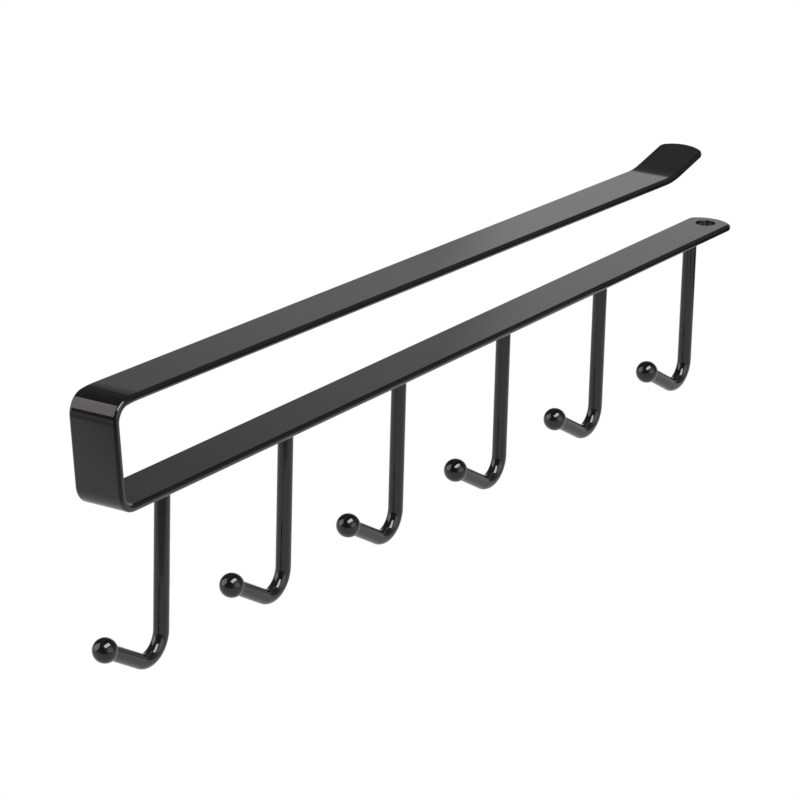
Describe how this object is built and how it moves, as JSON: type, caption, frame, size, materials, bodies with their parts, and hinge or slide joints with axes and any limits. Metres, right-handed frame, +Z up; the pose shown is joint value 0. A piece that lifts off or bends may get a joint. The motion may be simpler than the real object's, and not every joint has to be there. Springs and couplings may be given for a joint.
{
  "type": "under-shelf mug hook rack",
  "caption": "Black coated steel strap folded into a sideways U that clips over a shelf, with a row of ball-tipped wire J hooks welded under its lower leg for hanging mugs.",
  "frame": {"origin": "on the lower leg's top face, which lies against the shelf's underside, on the strap's centre line and halfway along the row of hooks", "axes": "+Z up, +X along the strap from the fold to the open end, +Y across the strap"},
  "size_m": [0.3007, 0.0134, 0.0727],
  "materials": {
    "black_coat": "smooth semi-gloss black coat over steel"
  },
  "bodies": {
    "root": {"strap": "black_coat", "hook_wire_1": "black_coat", "hook_wire_2": "black_coat", "hook_wire_3": "black_coat", "hook_wire_4": "black_coat", "hook_wire_5": "black_coat", "hook_wire_6": "black_coat", "hook_ball_1": "black_coat", "hook_ball_2": "black_coat", "hook_ball_3": "black_coat", "hook_ball_4": "black_coat", "hook_ball_5": "black_coat", "hook_ball_6": "black_coat"}
  },
  "joints": []
}
